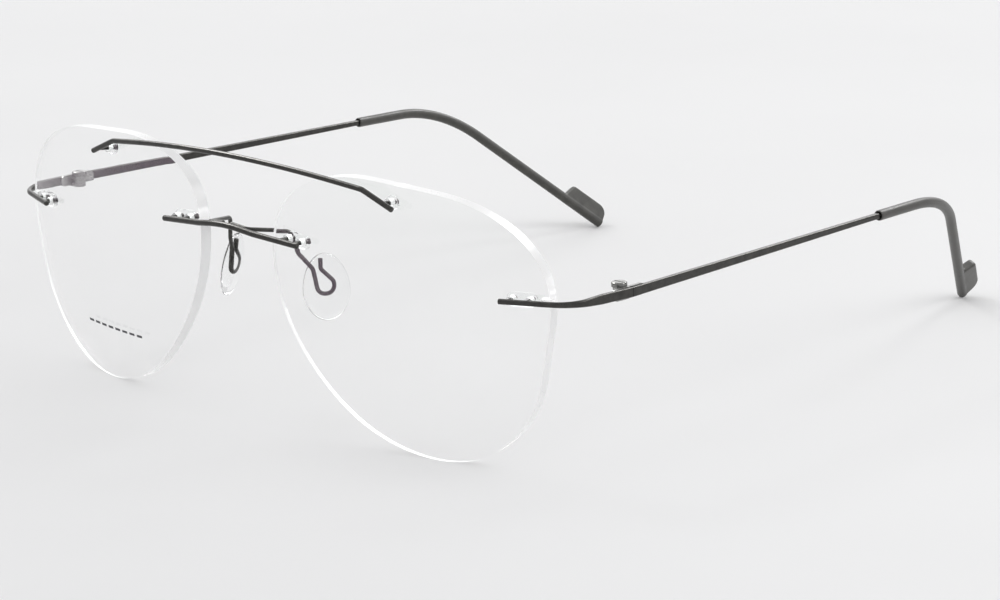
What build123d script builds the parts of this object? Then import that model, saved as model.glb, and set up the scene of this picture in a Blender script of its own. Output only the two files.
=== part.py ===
from build123d import *
import os
from math import cos, radians, sin, sqrt

# Rimless wire eyeglasses, open, standing on the lens rims and the ear-piece tips.
# +Z is up and the front faces -Y. "Left" is the wearer's left, which is +X.
# Every side piece is modelled on the left and mirrored in the YZ plane for the right.

# ---- overall layout ---------------------------------------------------------
FRONT_Y = -71.02           # y of the lens front surface at the lens centre
WIRE_ROUNDING = 0.18       # softened end of every cut wire
END_TOLERANCE = 0.01       # how near a rim lies to the end of its wire

# ---- lenses -----------------------------------------------------------------
LENS_X = 37.9              # lens centre, from the middle of the bridge
LENS_Z = 25.053            # lens centre above the ground
LENS_WRAP = 9.5            # degrees that the lens turns back towards the temple
LENS_TILT = 2.3            # degrees that the top of the lens leans forward
LENS_RADIUS = 129.3        # front surface sphere
LENS_THICKNESS = 2.0
LENS_STOCK_BEHIND = 12     # depth of the uncut lens block behind its plane
LENS_STOCK_BEFORE = 2
# outline in the lens plane (x to the temple, y up), from the temple side round by the top
LENS_OUTLINE = [
    (27.3, 0.0), (24.0, 13.9), (11.9, 20.6), (0.0, 22.1), (-12.9, 22.3), (-26.6, 15.4),
    (-27.6, 0.0), (-20.8, -12.0), (-11.7, -20.2), (0.0, -24.75), (13.5, -23.4), (23.7, -13.7),
]

# ---- lens mounts: metal pins held in clear compression plugs ---------------------
PIN_DIAMETER = 0.8
PLUG_DIAMETER = 1.5
PLUG_WEB_THICKNESS = 0.7
PLUG_WEB_MARGIN = 0.45     # web beyond the plug barrels, all round
PLUG_WEB_LAP = 0.3         # web thickness that starts inside the lens and is cut back to its rear face
PIN_TAIL = 0.35            # pin showing behind the plug web
PIN_BORE_LENGTH = 20       # longer than any plug
BRIDGE_PINS = [(-25.4, 9.9), (-22.3, 9.7)]
BROW_PINS = [(-2.6, 19.2)]
ENDPIECE_PINS = [(20.7, 5.2), (23.9, 5.2)]
NOTCH_X = 27.0             # edge notch that keeps the endpiece from turning
NOTCH_WIDTH = 1.3
NOTCH_DEPTH = 0.9

# ---- bridge and brow bar --------------------------------------------------------
BRIDGE_WIRE = 1.05
BRIDGE_STANDOFF = 1.35     # wire centre in front of the lens surface
BRIDGE_END = (-21.1, 9.6)
BRIDGE_KINK = (6.9, -4.1, 35.6)
BRIDGE_PEAK = (0.0, -4.6, 36.5)
BROW_WIRE = 0.95
BROW_STANDOFF = 1.5
BROW_END = (-0.5, 18.4)
BROW_KINK = (31.2, -1.65, 46.4)
BROW_PEAK = (0.0, -5.15, 50.1)

# ---- endpieces, hinges and temples ---------------------------------------------
ENDPIECE_WIRE = 0.95
ENDPIECE_STANDOFF = 0.95
ENDPIECE_END = (19.1, 5.2)
ENDPIECE_CORNER = (68.8, 8.3, 30.45)
ENDPIECE_BEND = 6.0
ENDPIECE_ROUNDING = 0.15
BEND_STEPS = 5             # sections along the bend where the wire flattens
BEND_WIDENING = 0.65       # share of the strip height that is reached at the end of the bend
FLAT_LENGTH = 7.0          # full strip section before the hinge seam
SEAM = (69.45, 22.2)       # where the endpiece meets the temple
TEMPLE_Z = 30.1
STRIP_HEIGHT = 1.7
STRIP_THICKNESS = 0.8
STRIP_EDGE = 0.25
ROUNDING_LIMIT = 0.49      # largest corner rounding, as a share of the section
SEAM_GAP = 0.06
MOUTH = (66.0, 93.0, 28.9)         # where the temple enters its tip sleeve
EAR_CORNER = (64.8, 115.3, 28.4)   # corner of the straight runs before and after the ear bend
TIP_END = (46.9, 145.0, 0.64)
EAR_BEND = 25.5
CORE_WIRE = 0.9
CORE_LEAD = 2.0            # core wire running on inside the strip, ahead of the mouth
CORE_END_INSET = 4.0
TAPER_END = 1.06           # the strip's section where it ends, just inside the sleeve mouth
TAPER_END_EDGE = 0.35
TAPER_ENTRY = 0.4

HINGE_AXIS = (67.5, 21.3)
HINGE_DROP = 0.15          # hinge centre below the middle of the strip
KNUCKLE_DIAMETER = 2.2
KNUCKLE_HEIGHT = 0.65
KNUCKLE_GAP = 0.05
LEAF_THICKNESS = 0.4
LEAF_HEIGHT = 2.0
LEAF_ROUNDING = 0.9
LEAF_LAP = 0.25            # leaf stock inside the strip, which the strip then cuts away
KNUCKLE_INSET = 0.1        # knuckle roots stop short of the strip
TEMPLE_ARM_HALF = 0.7      # half width of the arm that carries the middle knuckle
TEMPLE_ARM_REACH = 1.9     # arm behind the seam
TEMPLE_FOOT_START = 0.4
FRONT_LEAF_START = 18.0
TEMPLE_LEAF_END = 25.6
SCREW_SHANK = 1.2
SCREW_HEAD = 2.7
SCREW_HEAD_HEIGHT = 0.8
SCREW_HEAD_ROUNDING = 0.3
SCREW_SLOT = 0.25
SCREW_SLOT_DEPTH = 0.2
BORE_CLEARANCE = 0.04
SCREW_BORE_LENGTH = 10      # longer than the hinge

# ---- temple tips ----------------------------------------------------------------
SLEEVE_DIAMETER = 1.95
SLEEVE_ROUNDING = 0.3
MOUTH_RECESS = 1.5
MOUTH_RECESS_DEPTH = 0.6
BLADE_LENGTH = 10.6
BLADE_WIDTH = 4.64
BLADE_THICKNESS = 1.75
BLADE_START_ROUNDING = 1.0
BLADE_END_ROUNDING = 2.0
BLADE_EDGE = 0.45
BLADE_HEEL = 0.3           # where the slanted front edge starts, from the sleeve centre
BLADE_SLANT = 1.4          # how far that edge leans towards the tip end
BLADE_INSET = 0.16         # blade edge inside the sleeve surface

# ---- nose pads -------------------------------------------------------------------
PAD_CENTRE = (12.2, 8.4, 24.85)
PAD_SPLAY = 28.0           # degrees that the pad faces to the rear
PAD_LEAN = 12.0            # degrees that the pad leans in at its top
PAD_WIDTH = 8.6
PAD_HEIGHT = 11.8
PAD_THICKNESS = 2.6
PAD_ROUNDING = 1.0
ARM_WIRE = 0.75
ARM_FOOT = [(0.9, -3.62, 36.45), (4.8, -3.35, 36.0)]   # brazed along the rear of the bridge
ARM_TOP = (8.2, 4.6, 34.7)
ARM_RADII = [1.0, 1.3, 1.0]
# the loop inside the pad, in the pad plane (x to the rear, y up), from the arm joint
LOOP_START = (-4.3, 6.1)
LOOP_JOINT = (-3.55, 5.15)
LOOP_CORNERS = [(-2.05, 3.25), (-1.5, -1.2), (1.4, -1.2), (1.35, 0.85), (-0.75, 3.1), (-0.6, 4.9)]
LOOP_RADII = [1.5, 1.4, 1.4, 1.2, 0.8]


def place(x, y, z):
    """A point given from the lens front, in the part's frame."""
    return Vector(x, FRONT_Y + y, z)


def wire_sweep(path, diameter, rounding=WIRE_ROUNDING):
    """Round wire along a path, with softly rounded ends."""
    wire = sweep(Plane(path @ 0, z_dir=path % 0) * Circle(diameter / 2), path=path)
    rims = wire.edges().filter_by(GeomType.CIRCLE)
    stops = (path @ 0, path @ 1)
    ends = [e for e in rims if min((e.arc_center - stop).length for stop in stops) < END_TOLERANCE]
    return fillet(ends, rounding)


# ---- lens frame helpers -----------------------------------------------------------
wrap = radians(LENS_WRAP)
tilt = radians(LENS_TILT)
lens_plane = Plane(
    origin=(LENS_X, FRONT_Y, LENS_Z),
    x_dir=(cos(wrap), sin(wrap), 0),
    z_dir=(sin(wrap) * cos(tilt), -cos(wrap) * cos(tilt), -sin(tilt)),
)
sphere_centre = lens_plane.from_local_coords((0, 0, -LENS_RADIUS))


def on_lens(spot):
    """Point of the lens front surface at a place in the lens plane."""
    u, v = spot
    depth = sqrt(LENS_RADIUS**2 - u**2 - v**2) - LENS_RADIUS
    return lens_plane.from_local_coords((u, v, depth))


def lens_normal(spot):
    """Unit vector that points forward out of the lens front surface."""
    return (on_lens(spot) - sphere_centre).normalized()


def before_lens(spot, standoff):
    return on_lens(spot) + lens_normal(spot) * standoff


def middle(spots):
    return tuple(sum(values) / len(spots) for values in zip(*spots))


# ---- lens mounts -------------------------------------------------------------------
def mount_directions(spots):
    """Common forward direction of a group of parallel pins."""
    return lens_normal(middle(spots))


def pin_plane(spot, spots):
    return Plane(origin=on_lens(spot), z_dir=mount_directions(spots))


def drill(spots):
    """Holes through a lens for one mount."""
    return [pin_plane(spot, spots) * Cylinder(PLUG_DIAMETER / 2, 4 * LENS_THICKNESS) for spot in spots]


def make_pins(spots, standoff, wire):
    """Pins that are brazed to the rear of a wire and run back through the plugs."""
    back = LENS_THICKNESS + PLUG_WEB_THICKNESS + PIN_TAIL
    pins = []
    for spot in spots:
        pin = pin_plane(spot, spots) * Pos(0, 0, (standoff - back) / 2) * Cylinder(
            PIN_DIAMETER / 2, standoff + back
        )
        pins.append((pin - wire).solids().sort_by(SortBy.VOLUME)[-1])
    return pins


def make_plug(spots, lens_blank):
    """Clear plug: one barrel round each pin, joined by a web behind the lens."""
    direction = mount_directions(spots)
    rear = LENS_THICKNESS + PLUG_WEB_THICKNESS
    barrels = [
        pin_plane(spot, spots) * Pos(0, 0, -rear / 2) * Cylinder(PLUG_DIAMETER / 2, rear) for spot in spots
    ]
    pad_radius = PLUG_DIAMETER / 2 + PLUG_WEB_MARGIN
    first = on_lens(spots[0])
    last = on_lens(spots[-1])
    web_plane = Plane(
        origin=(first + last) / 2 - direction * (LENS_THICKNESS - PLUG_WEB_LAP),
        x_dir=(last - first) if len(spots) > 1 else lens_plane.x_dir,
        z_dir=-direction,
    )
    if len(spots) > 1:
        outline = SlotCenterToCenter((last - first).length, 2 * pad_radius)
    else:
        outline = Circle(pad_radius)
    web = extrude(web_plane * outline, PLUG_WEB_THICKNESS + PLUG_WEB_LAP) - lens_blank
    plug = web + barrels
    bores = [pin_plane(spot, spots) * Cylinder(PIN_DIAMETER / 2, PIN_BORE_LENGTH) for spot in spots]
    return plug - bores


# ---- lens ---------------------------------------------------------------------------
def make_lens_blank():
    outline = make_face(lens_plane * Spline(*LENS_OUTLINE, periodic=True))
    behind = extrude(outline, LENS_STOCK_BEHIND, dir=-lens_plane.z_dir)
    slab = behind + extrude(outline, LENS_STOCK_BEFORE, dir=lens_plane.z_dir)
    front = Pos(*sphere_centre) * Sphere(LENS_RADIUS)
    back = Pos(*sphere_centre) * Sphere(LENS_RADIUS - LENS_THICKNESS)
    return (slab & front) - back


def make_lens(blank):
    lens = blank
    for spots in (BRIDGE_PINS, BROW_PINS, ENDPIECE_PINS):
        lens = lens - drill(spots)
    edge = (NOTCH_X, ENDPIECE_PINS[0][1])
    notch = Plane(origin=on_lens(edge), x_dir=lens_plane.x_dir, z_dir=lens_normal(edge))
    return lens - notch * Box(2 * NOTCH_DEPTH, NOTCH_WIDTH, 4 * LENS_THICKNESS)


# ---- bridge and brow bar ---------------------------------------------------------------
def arched_wire(end, standoff, kink, peak, diameter, kink_radius, peak_radius):
    """Symmetric wire: a leg before each lens, a kink and an arch over the nose."""
    left_end = before_lens(end, standoff)
    left_kink = place(*kink)
    top = place(*peak)
    flip = [Vector(-p.X, p.Y, p.Z) for p in (left_kink, left_end)]
    path = FilletPolyline(
        left_end, left_kink, top, *flip, radius=[kink_radius, peak_radius, kink_radius]
    )
    return wire_sweep(path, diameter)


# ---- endpiece ---------------------------------------------------------------------------
def strip_section(plane, height, thickness):
    """Rounded section that runs from almost round, at wire height, to the flat strip."""
    wanted = STRIP_EDGE + (STRIP_HEIGHT - height) / 2
    rounding = min(wanted, ROUNDING_LIMIT * thickness, ROUNDING_LIMIT * height)
    return plane * RectangleRounded(thickness, height, rounding)


def make_endpiece():
    """Round wire before the lens that flattens to a strip as it turns back to the hinge."""
    start = before_lens(ENDPIECE_END, ENDPIECE_STANDOFF)
    end = place(SEAM[0], SEAM[1] - SEAM_GAP / 2, TEMPLE_Z)
    path = FilletPolyline(start, place(*ENDPIECE_CORNER), end, radius=ENDPIECE_BEND)
    front_run, bend, rear_run = path.edges()
    sections = []
    for step in range(BEND_STEPS + 1):
        share = step / BEND_STEPS
        height = ENDPIECE_WIRE + (STRIP_HEIGHT - ENDPIECE_WIRE) * BEND_WIDENING * share**2
        thickness = ENDPIECE_WIRE + (STRIP_THICKNESS - ENDPIECE_WIRE) * share
        plane = Plane(bend @ share, x_dir=(bend % share).cross(Vector(0, 0, 1)), z_dir=bend % share)
        sections.append(strip_section(plane, height, thickness))
    rear_plane = Plane(end, x_dir=(rear_run % 1).cross(Vector(0, 0, 1)), z_dir=rear_run % 1)
    full = rear_plane.offset(-FLAT_LENGTH)
    front = extrude(sections[0], front_run.length, dir=-(front_run % 0))
    front = fillet(front.faces().sort_by_distance(start)[0].edges(), ENDPIECE_ROUNDING)
    flatten = loft(sections)
    widen = loft([sections[-1], strip_section(full, STRIP_HEIGHT, STRIP_THICKNESS)])
    strip = extrude(strip_section(full, STRIP_HEIGHT, STRIP_THICKNESS), FLAT_LENGTH)
    return front + flatten + widen + strip


# ---- hinge ---------------------------------------------------------------------------------
hinge_z = TEMPLE_Z - HINGE_DROP
axis_point = place(*HINGE_AXIS, hinge_z)
strip_inner_x = SEAM[0] - STRIP_THICKNESS / 2
knuckle_pitch = KNUCKLE_HEIGHT + KNUCKLE_GAP
hinge_half = KNUCKLE_HEIGHT * 1.5 + KNUCKLE_GAP


def box_between(x0, x1, y0, y1, z0, z1):
    """Block between two corners, with y counted from the lens front."""
    centre = place((x0 + x1) / 2, (y0 + y1) / 2, (z0 + z1) / 2)
    return Pos(*centre) * Box(x1 - x0, y1 - y0, z1 - z0)


def leaf_plate(y0, y1):
    """Flat leaf against the inner face of the strip."""
    x1 = strip_inner_x + LEAF_LAP
    half = LEAF_HEIGHT / 2
    return box_between(strip_inner_x - LEAF_THICKNESS, x1, y0, y1, TEMPLE_Z - half, TEMPLE_Z + half)


def screw_bore():
    return Pos(*axis_point) * Cylinder((SCREW_SHANK + BORE_CLEARANCE) / 2, SCREW_BORE_LENGTH)


def make_front_leaf(endpiece):
    """Leaf brazed inside the endpiece, with the top and bottom knuckles."""
    leaf = leaf_plate(FRONT_LEAF_START, SEAM[1] - SEAM_GAP)
    leaf = fillet(leaf.edges().filter_by(Axis.X).group_by(Axis.Y)[0], LEAF_ROUNDING)
    x, y = HINGE_AXIS
    root = KNUCKLE_DIAMETER / 2
    root_x = strip_inner_x - KNUCKLE_INSET
    half = KNUCKLE_HEIGHT / 2
    for side in (-1, 1):
        z = hinge_z + side * knuckle_pitch
        leaf += Pos(axis_point.X, axis_point.Y, z) * Cylinder(root, KNUCKLE_HEIGHT)
        leaf += box_between(x, root_x, y - root, SEAM[1] - SEAM_GAP, z - half, z + half)
    leaf -= Pos(*axis_point) * Cylinder(root + KNUCKLE_GAP, KNUCKLE_HEIGHT + 2 * KNUCKLE_GAP)
    head_z = hinge_z + hinge_half + SCREW_HEAD_HEIGHT / 2
    head_seat = Cylinder(SCREW_HEAD / 2 + KNUCKLE_GAP, SCREW_HEAD_HEIGHT)
    leaf -= Pos(axis_point.X, axis_point.Y, head_z) * head_seat
    return leaf - screw_bore() - endpiece


def make_temple_leaf(temple):
    """Leaf brazed inside the temple, with the middle knuckle."""
    plate = leaf_plate(SEAM[1] + SEAM_GAP, TEMPLE_LEAF_END)
    plate = fillet(plate.edges().filter_by(Axis.X).group_by(Axis.Y)[-1], LEAF_ROUNDING)
    x, y = HINGE_AXIS
    low = hinge_z - KNUCKLE_HEIGHT / 2
    high = hinge_z + KNUCKLE_HEIGHT / 2
    root_x = strip_inner_x - KNUCKLE_INSET
    arm_x = x - TEMPLE_ARM_HALF
    foot_y = SEAM[1] + TEMPLE_FOOT_START
    reach_y = SEAM[1] + TEMPLE_ARM_REACH
    knuckle = Pos(*axis_point) * Cylinder(KNUCKLE_DIAMETER / 2, KNUCKLE_HEIGHT)
    arm = box_between(arm_x, x + TEMPLE_ARM_HALF, y, reach_y, low, high)
    foot = box_between(arm_x, root_x, foot_y, reach_y, low, high)
    return plate + knuckle + arm + foot - screw_bore() - temple


def make_hinge_screw():
    top = hinge_half
    shank = Cylinder(SCREW_SHANK / 2, 2 * top)
    head = Pos(0, 0, top + SCREW_HEAD_HEIGHT / 2) * Cylinder(SCREW_HEAD / 2, SCREW_HEAD_HEIGHT)
    head = fillet(head.edges().group_by(Axis.Z)[-1], SCREW_HEAD_ROUNDING)
    slot = Pos(0, 0, top + SCREW_HEAD_HEIGHT) * Box(SCREW_HEAD + 1, SCREW_SLOT, 2 * SCREW_SLOT_DEPTH)
    return Pos(*axis_point) * (shank + head - slot)


# ---- temple and tip ---------------------------------------------------------------------------
def tip_route(lead=0.0, inset=0.0):
    """Centre line from the sleeve mouth round the ear bend to the tip end."""
    mouth = place(*MOUTH)
    corner = place(*EAR_CORNER)
    end = place(*TIP_END)
    start = mouth - (corner - mouth).normalized() * lead
    end = end - (end - corner).normalized() * inset
    return FilletPolyline(start, corner, end, radius=EAR_BEND)


def make_temple():
    """Strip that tapers almost to a round wire, and the core wire inside the tip sleeve."""
    start = place(SEAM[0], SEAM[1] + SEAM_GAP / 2, TEMPLE_Z)
    mouth = place(*MOUTH)
    along = (mouth - start).normalized()
    end = mouth + along * TAPER_ENTRY
    side = along.cross(Vector(0, 0, 1))
    wide = Plane(start, x_dir=side, z_dir=along)
    narrow = Plane(end, x_dir=side, z_dir=along)
    taper = loft([
        wide * RectangleRounded(STRIP_THICKNESS, STRIP_HEIGHT, STRIP_EDGE),
        narrow * RectangleRounded(TAPER_END, TAPER_END, TAPER_END_EDGE),
    ])
    path = tip_route(CORE_LEAD, CORE_END_INSET)
    core = sweep(Plane(path @ 0, z_dir=path % 0) * Circle(CORE_WIRE / 2), path=path)
    return taper + core


def make_tip(temple):
    """Soft sleeve over the core wire, with a flat blade along its last stretch."""
    path = tip_route()
    sleeve = wire_sweep(path, SLEEVE_DIAMETER, SLEEVE_ROUNDING)
    along = path % 1
    before = path % 0
    outward = (before - along * before.dot(along)).normalized()
    blade_plane = Plane(path @ 1, x_dir=along, z_dir=along.cross(outward))
    low = BLADE_INSET - SLEEVE_DIAMETER / 2
    high = low + BLADE_WIDTH
    start = -BLADE_LENGTH
    outline = make_face(
        Polyline(
            (start, BLADE_HEEL), (start + BLADE_SLANT, high), (0, high), (0, low), (start, low), close=True
        )
    )
    corners = outline.vertices().group_by(Axis.Y)[-1].sort_by(Axis.X)
    outline = fillet(corners[0], BLADE_START_ROUNDING)
    outline = fillet(outline.vertices().group_by(Axis.X)[-1].sort_by(Axis.Y)[-1], BLADE_END_ROUNDING)
    blade = extrude(blade_plane * outline, BLADE_THICKNESS / 2, both=True)
    blade = fillet(blade.edges(), BLADE_EDGE)
    recess = Plane(path @ 0, z_dir=path % 0) * Cylinder(MOUTH_RECESS / 2, 2 * MOUTH_RECESS_DEPTH)
    return sleeve + blade - recess - temple


# ---- nose pads ------------------------------------------------------------------------------
splay = radians(PAD_SPLAY)
lean = radians(PAD_LEAN)
pad_plane = Plane(
    origin=place(*PAD_CENTRE),
    x_dir=(sin(splay), cos(splay), 0),
    z_dir=(cos(splay) * cos(lean), -sin(splay) * cos(lean), sin(lean)),
)


def on_pad(spot):
    return pad_plane.from_local_coords((spot[0], spot[1], 0))


def make_pad_arm(bridge):
    """Wire from the rear of the bridge to the joint above the pad."""
    points = [place(*spot) for spot in [*ARM_FOOT, ARM_TOP]]
    path = FilletPolyline(*points, on_pad(LOOP_START), on_pad(LOOP_JOINT), radius=ARM_RADII)
    return wire_sweep(path, ARM_WIRE) - bridge


def make_pad_loop():
    """Open wire loop that holds the pad from inside."""
    path = FilletPolyline(on_pad(LOOP_JOINT), *[on_pad(spot) for spot in LOOP_CORNERS], radius=LOOP_RADII)
    return wire_sweep(path, ARM_WIRE, 0.1)


def make_nose_pad(loop):
    """Clear cushion moulded round the loop."""
    cushion = extrude(pad_plane * Ellipse(PAD_WIDTH / 2, PAD_HEIGHT / 2), PAD_THICKNESS / 2, both=True)
    cushion = fillet(cushion.edges(), PAD_ROUNDING)
    return cushion - loop


# ---- assembly -------------------------------------------------------------------------------
def flip(shape):
    return mirror(shape, about=Plane.YZ)


def save(shapes, name):
    """One node: a single piece, or a group of separate pieces."""
    pieces = [solid for shape in shapes for solid in shape.solids()]
    shape = pieces[0] if len(pieces) == 1 else Compound(pieces)
    export_step(shape, f"parts/{name}.step")


def save_pair(shapes, name):
    save(shapes, f"{name}_left")
    save([flip(shape) for shape in shapes], f"{name}_right")


def main():
    os.makedirs("parts", exist_ok=True)
    blank = make_lens_blank()
    bridge = arched_wire(
        BRIDGE_END, BRIDGE_STANDOFF, BRIDGE_KINK, BRIDGE_PEAK, BRIDGE_WIRE, kink_radius=8, peak_radius=25
    )
    brow = arched_wire(
        BROW_END, BROW_STANDOFF, BROW_KINK, BROW_PEAK, BROW_WIRE, kink_radius=3, peak_radius=165
    )
    endpiece = make_endpiece()
    temple = make_temple()
    loop = make_pad_loop()
    bridge_pins = make_pins(BRIDGE_PINS, BRIDGE_STANDOFF, bridge)
    brow_pins = make_pins(BROW_PINS, BROW_STANDOFF, brow)

    save([bridge], "bridge_bar")
    save([brow], "brow_bar")
    save(bridge_pins + [flip(pin) for pin in bridge_pins], "bridge_pins")
    save(brow_pins + [flip(pin) for pin in brow_pins], "brow_pins")
    save_pair([make_lens(blank)], "lens")
    save_pair([make_plug(BRIDGE_PINS, blank)], "bridge_plug")
    save_pair([make_plug(BROW_PINS, blank)], "brow_plug")
    save_pair([make_plug(ENDPIECE_PINS, blank)], "endpiece_plug")
    save_pair(make_pins(ENDPIECE_PINS, ENDPIECE_STANDOFF, endpiece), "endpiece_pins")
    save_pair([endpiece], "endpiece")
    save_pair([make_front_leaf(endpiece)], "front_hinge_leaf")
    save_pair([make_hinge_screw()], "hinge_screw")
    save_pair([temple], "temple")
    save_pair([make_temple_leaf(temple)], "temple_hinge_leaf")
    save_pair([make_tip(temple)], "temple_tip")
    save_pair([make_pad_arm(bridge)], "pad_arm")
    save_pair([loop], "pad_loop")
    save_pair([make_nose_pad(loop)], "nose_pad")


if __name__ == "__main__":
    main()
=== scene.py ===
import math

import bpy
from mathutils import Matrix, Vector


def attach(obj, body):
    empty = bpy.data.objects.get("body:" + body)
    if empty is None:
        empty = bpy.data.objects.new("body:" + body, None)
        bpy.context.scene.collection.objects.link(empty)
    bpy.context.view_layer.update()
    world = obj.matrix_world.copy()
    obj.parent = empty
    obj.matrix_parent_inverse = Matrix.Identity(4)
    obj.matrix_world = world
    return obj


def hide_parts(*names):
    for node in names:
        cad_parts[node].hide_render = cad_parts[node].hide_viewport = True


# Rimless wire eyeglasses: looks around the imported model, in metres.

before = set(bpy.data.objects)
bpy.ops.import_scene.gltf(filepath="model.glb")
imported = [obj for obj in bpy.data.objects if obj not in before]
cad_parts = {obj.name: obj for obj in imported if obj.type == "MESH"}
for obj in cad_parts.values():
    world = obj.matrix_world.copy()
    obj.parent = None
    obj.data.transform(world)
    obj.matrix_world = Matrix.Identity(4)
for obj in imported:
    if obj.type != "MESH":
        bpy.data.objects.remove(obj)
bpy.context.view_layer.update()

SIDES = ("left", "right")
MIRROR = {"left": 1, "right": -1}
MM = 0.001

# ---- layout shared with the model ---------------------------------------------------
FRONT_Y = -71.02
LENS_CENTRE = (37.9, FRONT_Y, 25.053)
LENS_WRAP = math.radians(9.5)
LENS_TILT = math.radians(2.3)
LENS_RADIUS = 129.3
PAD_CENTRE = (12.2, FRONT_Y + 8.4, 24.85)
PAD_SPLAY = math.radians(28.0)
PAD_LEAN = math.radians(12.0)
PAD_SIZE = (8.6, 11.8, 2.6)


# ---- material helpers ------------------------------------------------------------------
NOISE_LOW = 0.3
NOISE_HIGH = 0.7
METAL_GRAIN_DEPTH = 0.00002
CLEAR_WAVE_DEPTH = 0.0001
RUBBER_GRAIN_DEPTH = 0.00003
EDGE_GRAIN_DEPTH = 0.00001


def start_material(name):
    """Empty node material, and the object coordinates that its textures use."""
    material = bpy.data.materials.new(name)
    material.use_nodes = True
    tree = material.node_tree
    tree.nodes.clear()
    place = tree.nodes.new("ShaderNodeTexCoord").outputs["Object"]
    return material, tree, place


def noise(tree, place, scale, detail=4.0, stretch=None):
    """Noise over the object's own coordinates; stretch squeezes it along chosen axes."""
    if stretch:
        mapping = tree.nodes.new("ShaderNodeMapping")
        mapping.inputs["Scale"].default_value = stretch
        tree.links.new(place, mapping.inputs["Vector"])
        place = mapping.outputs["Vector"]
    texture = tree.nodes.new("ShaderNodeTexNoise")
    texture.inputs["Scale"].default_value = scale
    texture.inputs["Detail"].default_value = detail
    tree.links.new(place, texture.inputs["Vector"])
    return texture.outputs["Fac"]


def ramp(tree, factor, stops):
    """Color that runs between two stops, each a position and an rgb color."""
    node = tree.nodes.new("ShaderNodeValToRGB")
    elements = node.color_ramp.elements
    for element, (position, color) in zip(elements, stops):
        element.position = position
        element.color = (*color, 1)
    tree.links.new(factor, node.inputs["Fac"])
    return node.outputs["Color"]


def spread(tree, factor, low, high):
    """Maps the middle of a noise, where most of its values lie, to a range of numbers."""
    node = tree.nodes.new("ShaderNodeMapRange")
    node.inputs["From Min"].default_value = NOISE_LOW
    node.inputs["From Max"].default_value = NOISE_HIGH
    node.inputs["To Min"].default_value = low
    node.inputs["To Max"].default_value = high
    tree.links.new(factor, node.inputs["Value"])
    return node.outputs["Result"]


def bump(tree, height, strength, distance):
    node = tree.nodes.new("ShaderNodeBump")
    node.inputs["Strength"].default_value = strength
    node.inputs["Distance"].default_value = distance
    tree.links.new(height, node.inputs["Height"])
    return node.outputs["Normal"]


def principled(tree, **values):
    node = tree.nodes.new("ShaderNodeBsdfPrincipled")
    for name, value in values.items():
        node.inputs[name.replace("_", " ")].default_value = value
    return node


def finish_material(tree, shader):
    output = tree.nodes.new("ShaderNodeOutputMaterial")
    tree.links.new(shader, output.inputs["Surface"])


def metal(name, stops, rough, grain, fine, bump_strength, metallic, stretch=None):
    """Satin metal: slow tone changes, fine grain in the roughness and a light bump."""
    material, tree, place = start_material(name)
    shader = principled(tree, Metallic=metallic)
    slow = noise(tree, place, grain)
    quick = noise(tree, place, fine, detail=6.0, stretch=stretch)
    tree.links.new(ramp(tree, slow, stops), shader.inputs["Base Color"])
    tree.links.new(spread(tree, quick, *rough), shader.inputs["Roughness"])
    tree.links.new(bump(tree, quick, bump_strength, METAL_GRAIN_DEPTH), shader.inputs["Normal"])
    finish_material(tree, shader.outputs["BSDF"])
    return material


def let_light_past(tree, shader, tone):
    """Lamps and bounced light pass through the piece, softened by a grey tone."""
    through = tree.nodes.new("ShaderNodeBsdfTransparent")
    through.inputs["Color"].default_value = (tone, tone, tone, 1)
    path = tree.nodes.new("ShaderNodeLightPath")
    either = tree.nodes.new("ShaderNodeMath")
    either.operation = "MAXIMUM"
    tree.links.new(path.outputs["Is Shadow Ray"], either.inputs[0])
    tree.links.new(path.outputs["Is Diffuse Ray"], either.inputs[1])
    mix = tree.nodes.new("ShaderNodeMixShader")
    tree.links.new(either.outputs[0], mix.inputs["Fac"])
    tree.links.new(shader.outputs["BSDF"], mix.inputs[1])
    tree.links.new(through.outputs["BSDF"], mix.inputs[2])
    finish_material(tree, mix.outputs["Shader"])


def clear(name, stops, rough, ior, tint, shadow, wave, wave_strength):
    """Clear plastic with a slight wave in its surface."""
    material, tree, place = start_material(name)
    glass = principled(tree, Transmission_Weight=1.0, IOR=ior, Specular_Tint=(*tint, 1))
    slow = noise(tree, place, wave)
    tree.links.new(ramp(tree, slow, stops), glass.inputs["Base Color"])
    tree.links.new(spread(tree, slow, *rough), glass.inputs["Roughness"])
    if wave_strength:
        tree.links.new(bump(tree, slow, wave_strength, CLEAR_WAVE_DEPTH), glass.inputs["Normal"])
    let_light_past(tree, glass, shadow)
    return material


def rubber(name, stops, rough, grain, fine, bump_strength, sheen):
    """Matt soft plastic with a faint sheen and a fine grain."""
    material, tree, place = start_material(name)
    shader = principled(tree, Sheen_Weight=sheen, Sheen_Roughness=0.45, Specular_IOR_Level=0.45)
    slow = noise(tree, place, grain)
    quick = noise(tree, place, fine, detail=8.0)
    tree.links.new(ramp(tree, slow, stops), shader.inputs["Base Color"])
    tree.links.new(spread(tree, slow, *rough), shader.inputs["Roughness"])
    tree.links.new(bump(tree, quick, bump_strength, RUBBER_GRAIN_DEPTH), shader.inputs["Normal"])
    finish_material(tree, shader.outputs["BSDF"])
    return material


def frosted_edge_with_painted_glow(name, stops, rough, shadow, grain, fine, bump_strength):
    """Ground and polished lens edge: it scatters light and reads white, and a faint white emission
    adds a painted glow on top.
    """
    material, tree, place = start_material(name)
    shader = principled(
        tree, Transmission_Weight=0.35, IOR=1.49, Coat_Weight=0.3, Coat_Roughness=0.1,
        # faint white emission: a painted glow that makes the edge read brighter than its lighting
        # alone does
        Emission_Color=(1, 1, 1, 1), Emission_Strength=0.12,
    )
    quick = noise(tree, place, fine, detail=3.0)
    slow = noise(tree, place, grain)
    tree.links.new(ramp(tree, slow, stops), shader.inputs["Base Color"])
    tree.links.new(spread(tree, quick, *rough), shader.inputs["Roughness"])
    tree.links.new(bump(tree, quick, bump_strength, EDGE_GRAIN_DEPTH), shader.inputs["Normal"])
    let_light_past(tree, shader, shadow)
    return material


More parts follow.
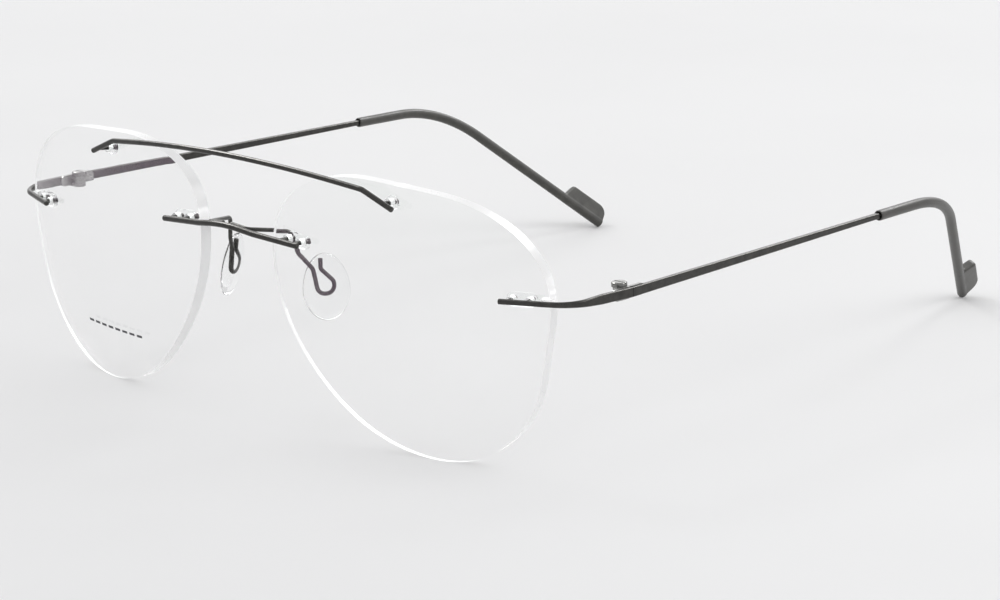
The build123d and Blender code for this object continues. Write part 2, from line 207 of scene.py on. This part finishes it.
# ---- materials --------------------------------------------------------------------------
wire = metal(
    "satin_black_wire",
    stops=[(0.3, (0.048, 0.047, 0.045)), (0.7, (0.068, 0.066, 0.062))],
    rough=(0.24, 0.36), grain=900, fine=9000, bump_strength=0.04, metallic=0.9,
)
leaf = metal(
    "brushed_hinge_steel",
    stops=[(0.3, (0.26, 0.26, 0.255)), (0.7, (0.38, 0.38, 0.37))],
    rough=(0.22, 0.38), grain=1500, fine=4000, bump_strength=0.15, metallic=1.0,
    stretch=(1.0, 0.15, 3.0),
)
screw = metal(
    "polished_screw_steel",
    stops=[(0.3, (0.16, 0.16, 0.155)), (0.7, (0.26, 0.26, 0.25))],
    rough=(0.16, 0.28), grain=1500, fine=8000, bump_strength=0.08, metallic=0.95,
)
lens_clear = clear(
    "coated_lens",
    stops=[(0.3, (0.985, 0.985, 0.985)), (0.7, (1.0, 1.0, 1.0))],
    rough=(0.0, 0.004), ior=1.49, tint=(1.0, 0.66, 0.95), shadow=0.93, wave=60, wave_strength=0,
)
plug_clear = clear(
    "clear_plug_plastic",
    stops=[(0.3, (0.96, 0.97, 0.97)), (0.7, (1.0, 1.0, 1.0))],
    rough=(0.02, 0.06), ior=1.14, tint=(1.0, 1.0, 1.0), shadow=0.85, wave=700, wave_strength=0.05,
)
silicone = clear(
    "clear_silicone",
    stops=[(0.3, (0.965, 0.97, 0.97)), (0.7, (0.99, 0.99, 0.99))],
    rough=(0.03, 0.10), ior=1.16, tint=(1.0, 1.0, 1.0), shadow=0.85, wave=350, wave_strength=0.12,
)
lens_edge = frosted_edge_with_painted_glow(
    "polished_lens_edge_painted_glow",
    stops=[(0.3, (0.96, 0.965, 0.965)), (0.7, (1.0, 1.0, 1.0))],
    rough=(0.22, 0.45), shadow=0.8, grain=250, fine=9000, bump_strength=0.04,
)
tip_rubber = rubber(
    "matt_tip_silicone",
    stops=[(0.3, (0.038, 0.037, 0.033)), (0.7, (0.060, 0.058, 0.051))],
    rough=(0.36, 0.50), grain=700, fine=6000, bump_strength=0.18, sheen=0.2,
)
mark_ink = rubber(
    "grey_print",
    stops=[(0.3, (0.06, 0.06, 0.065)), (0.7, (0.10, 0.10, 0.11))],
    rough=(0.5, 0.7), grain=2500, fine=9000, bump_strength=0.05, sheen=0.0,
)

NODE_MATERIALS = {
    "bridge_bar": wire, "brow_bar": wire, "bridge_pins": wire, "brow_pins": wire,
    "endpiece": wire, "endpiece_pins": wire, "temple": wire, "pad_arm": wire, "pad_loop": wire,
    "front_hinge_leaf": leaf, "temple_hinge_leaf": leaf, "hinge_screw": screw,
    "lens": lens_clear, "bridge_plug": plug_clear, "brow_plug": plug_clear,
    "endpiece_plug": plug_clear, "nose_pad": silicone, "temple_tip": tip_rubber,
}
NO_SHARP_EDGES = math.pi


def set_material(piece, material):
    piece.data.materials.clear()
    piece.data.materials.append(material)


def smooth(piece):
    """Smooth shading all over a soft moulding."""
    piece.data.polygons.foreach_set("use_smooth", [True] * len(piece.data.polygons))
    piece.data.set_sharp_from_angle(angle=NO_SHARP_EDGES)


for node_name, cad_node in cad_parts.items():
    base_name = node_name.removesuffix("_left").removesuffix("_right")
    set_material(cad_node, NODE_MATERIALS[base_name])


def lens_axis():
    """Unit vector that points forward out of the left lens at its centre."""
    return Vector((
        math.sin(LENS_WRAP) * math.cos(LENS_TILT),
        -math.cos(LENS_WRAP) * math.cos(LENS_TILT),
        -math.sin(LENS_TILT),
    ))


# the ground edge of each lens has its own finish
EDGE_FACING = 0.6      # faces turned further than this from the lens axis belong to the edge

for side_name in SIDES:
    cad_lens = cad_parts[f"lens_{side_name}"]
    axis = lens_axis()
    axis.x *= MIRROR[side_name]
    cad_lens.data.materials.append(lens_edge)
    for polygon in cad_lens.data.polygons:
        polygon.material_index = int(abs(polygon.normal.dot(axis)) < EDGE_FACING)


# ---- building pieces --------------------------------------------------------------------
def add_mesh(name, points, faces, material, body):
    """A new visible piece that rides on one body."""
    mesh = bpy.data.meshes.new(name)
    mesh.from_pydata(points, [], faces)
    mesh.validate()
    piece = bpy.data.objects.new(name, mesh)
    bpy.context.scene.collection.objects.link(piece)
    set_material(piece, material)
    mesh.polygons.foreach_set("use_smooth", [True] * len(mesh.polygons))
    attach(piece, body)
    return piece


def apply_modifiers(piece):
    """Replaces the mesh by its own modified result."""
    evaluated = piece.evaluated_get(bpy.context.evaluated_depsgraph_get())
    mesh = bpy.data.meshes.new_from_object(evaluated)
    piece.modifiers.clear()
    piece.data = mesh


# nose pads: soft oval cushions, domed towards the nose, with a thin rounded rim
PAD_PROFILE = [
    (0.0, 1.0), (0.30, 0.98), (0.58, 0.88), (0.80, 0.68), (0.94, 0.38), (1.0, 0.0),
    (0.97, -0.38), (0.88, -0.72), (0.70, -0.92), (0.45, -0.99), (0.0, -1.0),
]
PAD_STEPS = 40
PAD_TAPER = 0.10        # narrowing from below the middle of the pad to its top
PAD_TAPER_START = 0.2   # where it begins below the middle, as a share of the half height


def pad_point(side, u, v, w):
    """A place in millimetres in the pad's own frame: u to the rear, v up, w to the nose."""
    right = Vector((math.sin(PAD_SPLAY), math.cos(PAD_SPLAY), 0))
    nose = Vector((
        -math.cos(PAD_SPLAY) * math.cos(PAD_LEAN),
        math.sin(PAD_SPLAY) * math.cos(PAD_LEAN),
        -math.sin(PAD_LEAN),
    ))
    up = right.cross(nose)
    if up.z < 0:
        up = -up
    point = (Vector(PAD_CENTRE) + right * u + up * v + nose * w) * MM
    point.x *= MIRROR[side]
    return point


def make_pad(side):
    """Clear nose pad built ring by ring, from its nose face round the rim to its outer face."""
    half_width, half_height, half_thickness = (size / 2 for size in PAD_SIZE)
    points, faces = [], []
    rings = PAD_PROFILE[1:-1]
    for share, level in rings:
        for step in range(PAD_STEPS):
            angle = 2 * math.pi * step / PAD_STEPS
            v = math.sin(angle) * half_height * share
            taper = 1 - PAD_TAPER * (v / half_height + PAD_TAPER_START)
            u = math.cos(angle) * half_width * share * min(taper, 1.0)
            points.append(pad_point(side, u, v, level * half_thickness))
    for ring in range(len(rings) - 1):
        for step in range(PAD_STEPS):
            following = (step + 1) % PAD_STEPS
            a, b = ring * PAD_STEPS + step, ring * PAD_STEPS + following
            faces.append((a, b, b + PAD_STEPS, a + PAD_STEPS))
    for start, level in ((0, 1), ((len(rings) - 1) * PAD_STEPS, -1)):
        centre = len(points)
        points.append(pad_point(side, 0, 0, level * half_thickness))
        for step in range(PAD_STEPS):
            faces.append((start + step, start + (step + 1) % PAD_STEPS, centre)[::-level])
    if side == "right":
        faces = [face[::-1] for face in faces]
    pad = add_mesh(f"soft_nose_pad_{side}", points, faces, silicone, "front")
    pad.modifiers.new("round", "SUBSURF").levels = 1
    apply_modifiers(pad)
    smooth(pad)
    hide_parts(f"nose_pad_{side}")


# tip sleeves: the model's sleeve and blade melted into one soft moulding
TIP_VOXEL = 0.00013
TIP_SOFTENING = 0.5
TIP_SOFTENING_STEPS = 10


def make_tip(side):
    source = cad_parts[f"temple_tip_{side}"]
    tip = bpy.data.objects.new(f"soft_temple_tip_{side}", source.data.copy())
    bpy.context.scene.collection.objects.link(tip)
    set_material(tip, tip_rubber)
    remesh = tip.modifiers.new("melt", "REMESH")
    remesh.mode = "VOXEL"
    remesh.voxel_size = TIP_VOXEL
    soften = tip.modifiers.new("soften", "SMOOTH")
    soften.factor = TIP_SOFTENING
    soften.iterations = TIP_SOFTENING_STEPS
    apply_modifiers(tip)
    smooth(tip)
    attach(tip, f"{side}_temple")
    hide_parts(f"temple_tip_{side}")


# a printed mark on the right lens: plain dashes just proud of the front surface
MARK_PLACE = (-9.6, -14.9)
MARK_DASHES = 8
MARK_PITCH = 2.3
MARK_DASH = (1.6, 0.45)
MARK_RISE = 0.012
DASH_POINTS = 8


def lens_point(side, u, v, rise):
    """A place in millimetres on the lens: u to the temple, v up, rise off the front surface."""
    across = Vector((math.cos(LENS_WRAP), math.sin(LENS_WRAP), 0))
    out = lens_axis()
    up = out.cross(across)
    radius = LENS_RADIUS + rise
    depth = math.sqrt(radius**2 - u**2 - v**2) - LENS_RADIUS
    point = (Vector(LENS_CENTRE) + across * u + up * v + out * depth) * MM
    point.x *= MIRROR[side]
    return point


def make_mark():
    """A row of flat dashes, each one a thin closed plate."""
    points, faces = [], []
    width, height = MARK_DASH
    for dash in range(MARK_DASHES):
        u0 = MARK_PLACE[0] + MARK_PITCH * dash
        for u, v in ((u0, 0), (u0 + width, 0), (u0 + width, height), (u0, height)):
            for rise in (MARK_RISE, 2 * MARK_RISE):
                points.append(lens_point("right", u, MARK_PLACE[1] + v, rise))
        first = DASH_POINTS * dash
        bottom = [first, first + 2, first + 4, first + 6]
        top = [corner + 1 for corner in bottom]
        faces += [tuple(bottom), tuple(top[::-1])]
        for corner in range(4):
            following = (corner + 1) % 4
            faces.append((bottom[following], bottom[corner], top[corner], top[following]))
    mark = add_mesh("lens_mark_right", points, faces, mark_ink, "front")
    mark.data.polygons.foreach_set("use_smooth", [False] * len(mark.data.polygons))


for side_name in SIDES:
    make_pad(side_name)
    make_tip(side_name)
make_mark()


# ---- camera --------------------------------------------------------------------------------
CAMERA_AZIMUTH = math.radians(43.42)
CAMERA_ELEVATION = math.radians(14.82)
CAMERA_ROLL = math.radians(-1.39)
CAMERA_DISTANCE = 0.65755
CAMERA_TARGET = Vector((0.01811, 0.04487 + FRONT_Y * MM, 0.01557))
CAMERA_LENS = 132.16
CAMERA_SENSOR = 36
CAMERA_NEAR = 0.01

back = Vector((
    math.sin(CAMERA_AZIMUTH) * math.cos(CAMERA_ELEVATION),
    -math.cos(CAMERA_AZIMUTH) * math.cos(CAMERA_ELEVATION),
    math.sin(CAMERA_ELEVATION),
))
level_right = (-back).cross(Vector((0, 0, 1))).normalized()
level_up = level_right.cross(-back)
camera_right = level_right * math.cos(CAMERA_ROLL) + level_up * math.sin(CAMERA_ROLL)
camera_up = level_up * math.cos(CAMERA_ROLL) - level_right * math.sin(CAMERA_ROLL)
camera = bpy.data.objects.new("camera", bpy.data.cameras.new("camera"))
bpy.context.scene.collection.objects.link(camera)
camera.data.lens = CAMERA_LENS
camera.data.sensor_width = CAMERA_SENSOR
camera.data.clip_start = CAMERA_NEAR
camera.matrix_world = Matrix([
    [camera_right.x, camera_up.x, back.x, 0],
    [camera_right.y, camera_up.y, back.y, 0],
    [camera_right.z, camera_up.z, back.z, 0],
    [0, 0, 0, 1],
])
camera.location = CAMERA_TARGET + back * CAMERA_DISTANCE
bpy.context.scene.camera = camera


# ---- floor and light -------------------------------------------------------------------------
FLOOR_HALF = 4.0
FLOOR_STOPS = [(0.3, (0.80, 0.80, 0.80)), (0.7, (0.83, 0.83, 0.83))]
WORLD_COLOR = (0.99, 0.99, 1.0, 1)
WORLD_STRENGTH = 0.72


def make_floor():
    """Wide sheet of pale paper."""
    material, tree, place = start_material("pale_paper")
    shader = principled(tree, Specular_IOR_Level=0.15, Roughness=0.9)
    slow = noise(tree, place, 6)
    tree.links.new(ramp(tree, slow, FLOOR_STOPS), shader.inputs["Base Color"])
    finish_material(tree, shader.outputs["BSDF"])
    mesh = bpy.data.meshes.new("floor")
    corners = [(x * FLOOR_HALF, y * FLOOR_HALF, 0) for x, y in ((-1, -1), (1, -1), (1, 1), (-1, 1))]
    mesh.from_pydata(corners, [], [(0, 1, 2, 3)])
    floor = bpy.data.objects.new("floor", mesh)
    bpy.context.scene.collection.objects.link(floor)
    set_material(floor, material)


def make_light(name, place, target, size, power, highlights_only=False):
    """Softbox that faces a target; highlights_only keeps it out of the shading and the shadows."""
    data = bpy.data.lights.new(name, "AREA")
    data.shape = "RECTANGLE"
    data.size, data.size_y = size
    data.energy = power
    light = bpy.data.objects.new(name, data)
    bpy.context.scene.collection.objects.link(light)
    light.location = place
    light.rotation_euler = (Vector(target) - Vector(place)).to_track_quat("-Z", "Y").to_euler()
    if highlights_only:
        light.visible_diffuse = False
        light.visible_transmission = False


def make_world():
    """Even, slightly cool surround."""
    world = bpy.data.worlds.new("studio")
    bpy.context.scene.world = world
    world.use_nodes = True
    background = world.node_tree.nodes["Background"]
    background.inputs["Color"].default_value = WORLD_COLOR
    background.inputs["Strength"].default_value = WORLD_STRENGTH


make_floor()
make_light(
    "left_softbox", place=(-0.85, -0.05, 0.95), target=(0, 0, 0), size=(0.30, 0.30), power=1.6,
)
make_light(
    "rear_softbox", place=(0.05, 0.9, 0.9), target=(0, 0, 0), size=(0.30, 0.24), power=1.3,
)
make_light(
    "side_softbox", place=(0.5, 0.25, 0.4), target=(0.06, 0.03, 0.02), size=(0.35, 0.35), power=1.1,
)
make_light(
    "rear_panel", place=(-0.8, 0.95, 0.45), target=(0, 0, 0.02), size=(1.6, 0.7), power=3.2,
)
make_light(
    "left_sparkle", place=(-0.85, -0.02, 0.95), target=(0, 0, 0), size=(0.5, 0.5), power=14,
    highlights_only=True,
)
make_light(
    "rear_sparkle", place=(0.02, 0.9, 0.9), target=(0, 0, 0), size=(0.5, 0.5), power=9,
    highlights_only=True,
)
make_world()
bpy.context.scene.view_settings.view_transform = "Standard"
